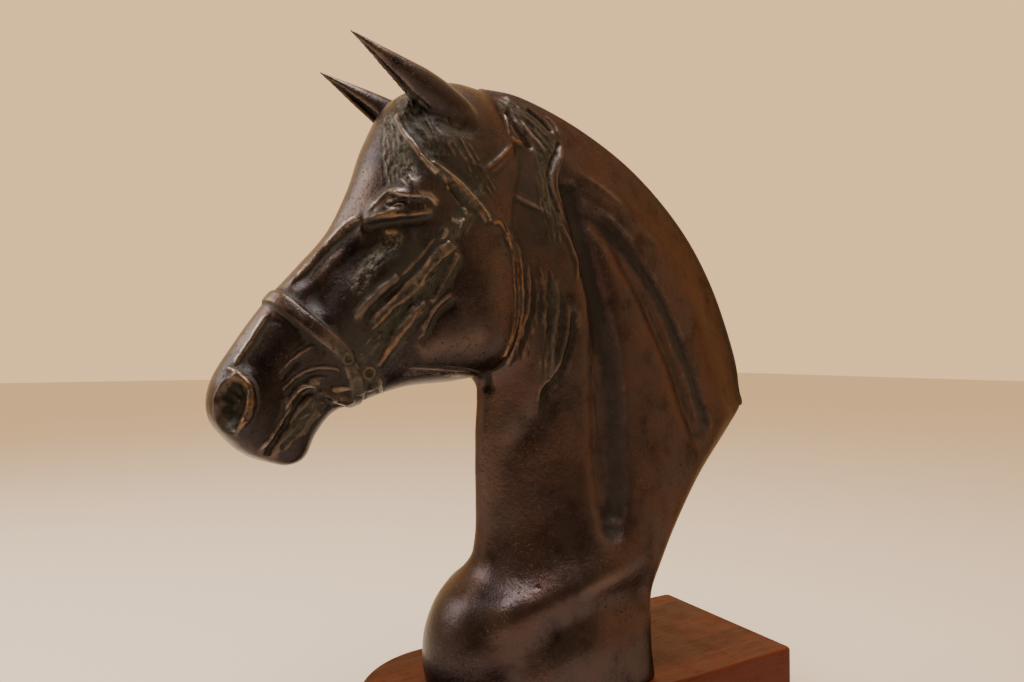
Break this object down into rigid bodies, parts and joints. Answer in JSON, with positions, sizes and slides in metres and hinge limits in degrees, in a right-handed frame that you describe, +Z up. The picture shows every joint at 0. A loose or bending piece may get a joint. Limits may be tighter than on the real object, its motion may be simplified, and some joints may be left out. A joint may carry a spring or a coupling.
{
  "type": "horse head sculpture",
  "caption": "Bronze bust of a bridled horse with pricked ears, a clipped mane and an arched neck, standing on a wooden base with a rounded front end.",
  "frame": {"origin": "centre of the wooden base's underside", "axes": "+Z up, -Y the way the horse faces, +X the horse's left side"},
  "size_m": [0.102, 0.3144, 0.354],
  "materials": {
    "bronze": "dark brown patinated cast bronze, softly polished on the high places and dull greenish black in the hollows",
    "mahogany": "red-brown mahogany under a satin varnish"
  },
  "bodies": {
    "root": {"horse_head": "bronze", "wooden_base": "mahogany"}
  },
  "joints": []
}
